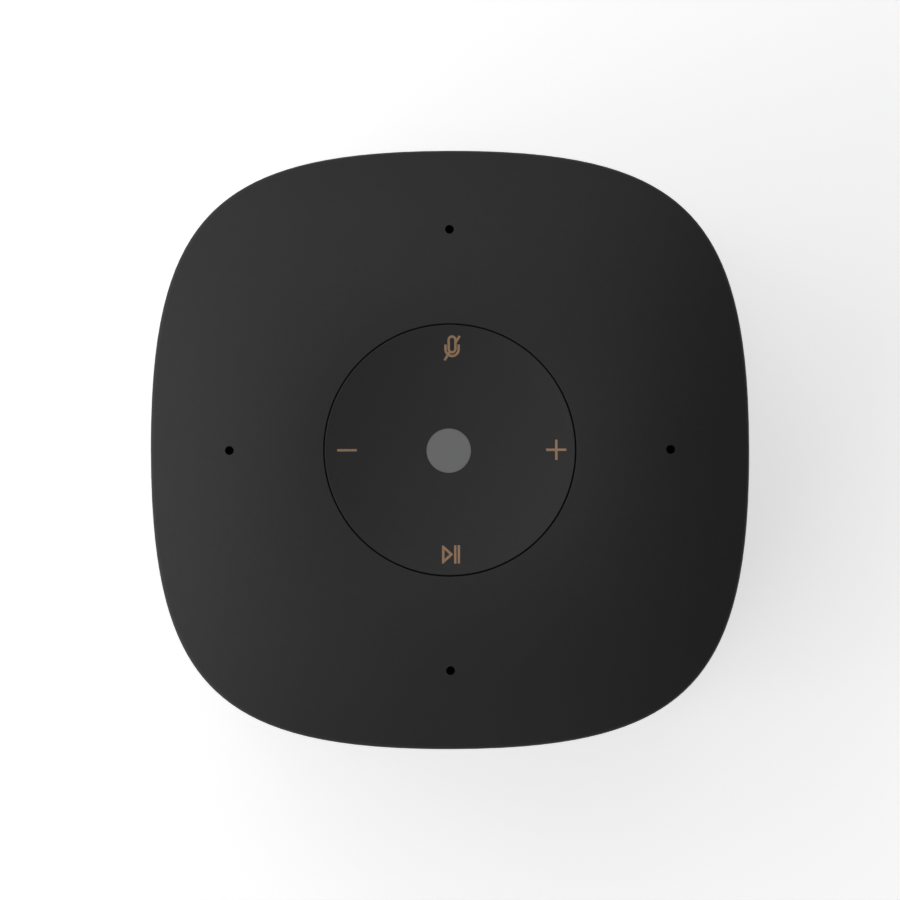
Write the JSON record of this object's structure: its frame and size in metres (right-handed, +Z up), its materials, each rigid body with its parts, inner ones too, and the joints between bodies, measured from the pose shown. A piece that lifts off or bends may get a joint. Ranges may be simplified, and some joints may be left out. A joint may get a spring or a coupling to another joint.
{
  "type": "smart home hub",
  "caption": "Free-standing voice-controlled hub: rounded-square column with a domed top cover, a rocking control disc, microphone holes and a perforated speaker sleeve.",
  "frame": {"origin": "centre of the footprint, on the surface the hub stands on", "axes": "+Z up along the body's height, +Y to the rear (power socket side), -Y to the front (play and pause side), +X to the plus mark's side"},
  "size_m": [0.095, 0.095, 0.14],
  "materials": {
    "cover_plastic": "fine matt",
    "disc_plastic": "fine matt",
    "sleeve_plastic": "matt perforated grille",
    "base_plastic": "matt",
    "foot_rubber": "matt",
    "mark_copper": "satin copper",
    "lens_plastic": "frosted",
    "clear_plastic": "clear",
    "inner_plastic": "moulded",
    "acetal": "natural white",
    "board_green": "solder mask",
    "chip_black": "moulded",
    "socket_cream": "moulded",
    "cable_film": "film",
    "tin_steel": "tinned",
    "dome_steel": "spring",
    "screw_steel": "zinc",
    "spreader_aluminium": "stamped",
    "pad_silicone": "soft",
    "gasket_rubber": "soft",
    "seal_foam": "foam",
    "basket_steel": "satin black",
    "pole_steel": "plated",
    "ferrite": "ground",
    "surround_rubber": "soft",
    "spider_cloth": "impregnated cloth",
    "cone_paper": "pressed paper",
    "coil_copper": "lacquered winding",
    "lead_insulation": "insulation",
    "capacitor_can": "satin"
  },
  "bodies": {
    "chassis": {"top_cover": "cover_plastic", "sleeve": "sleeve_plastic", "base_shell": "base_plastic", "bottom_plate": "base_plastic", "foot_ring": "foot_rubber", "key_frame": "inner_plastic", "control_board": "board_green", "domes_front_rear": "dome_steel", "domes_left_right": "dome_steel", "status_led": "socket_cream", "light_pipe": "clear_plastic", "mic_left": "chip_black", "mic_right": "chip_black", "mic_front": "chip_black", "mic_rear": "chip_black", "mic_gasket_left": "gasket_rubber", "mic_gasket_right": "gasket_rubber", "mic_gasket_front": "gasket_rubber", "mic_gasket_rear": "gasket_rubber", "ffc_connector_upper": "socket_cream", "ffc_connector_lower": "socket_cream", "ffc_cable": "cable_film", "board_screws": "screw_steel", "body_screws": "screw_steel", "speaker_box": "inner_plastic", "baffle_plate": "inner_plastic", "baffle_seal": "seal_foam", "baffle_screws": "screw_steel", "driver_basket": "basket_steel", "driver_top_plate": "pole_steel", "driver_magnet": "ferrite", "driver_yoke": "pole_steel", "spider": "spider_cloth", "surround": "surround_rubber", "driver_terminals": "tin_steel", "main_board": "board_green", "processor_chip": "chip_black", "shield_can": "tin_steel", "thermal_pad": "pad_silicone", "heat_spreader": "spreader_aluminium", "radio_module": "tin_steel", "wifi_antenna": "tin_steel", "mesh_antenna": "tin_steel", "power_capacitors": "capacitor_can", "board_sockets": "socket_cream", "speaker_leads": "lead_insulation", "power_jack": "chip_black", "power_lead": "lead_insulation", "base_screws": "screw_steel", "sound_diffuser": "inner_plastic"},
    "rocker_ring": {"gimbal_ring": "acetal"},
    "disc": {"control_disc": "disc_plastic", "icon_mute": "mark_copper", "icon_minus": "mark_copper", "icon_plus": "mark_copper", "icon_play_pause": "mark_copper", "status_lens": "lens_plastic"},
    "cone": {"cone": "cone_paper", "dust_cap": "cone_paper", "voice_coil": "coil_copper"}
  },
  "joints": [
    {"name": "tilt_front_rear", "type": "hinge", "parent": "chassis", "child": "rocker_ring", "pos_m": [0, 0, 0.132], "axis": [1, 0, 0], "range_deg": [-1.2, 1.2], "stiffness_Nm_per_rad": 1.65, "deforming": ["domes_front_rear"]},
    {"name": "tilt_left_right", "type": "hinge", "parent": "rocker_ring", "child": "disc", "pos_m": [0, 0, 0.132], "axis": [0, 1, 0], "range_deg": [-1.2, 1.2], "stiffness_Nm_per_rad": 1.65, "deforming": ["domes_left_right"]},
    {"name": "cone_travel", "type": "slide", "parent": "chassis", "child": "cone", "axis": [0, 0, 1], "range_m": [-0.002, 0.002], "stiffness_N_per_m": 1500, "deforming": ["surround", "spider"]}
  ]
}
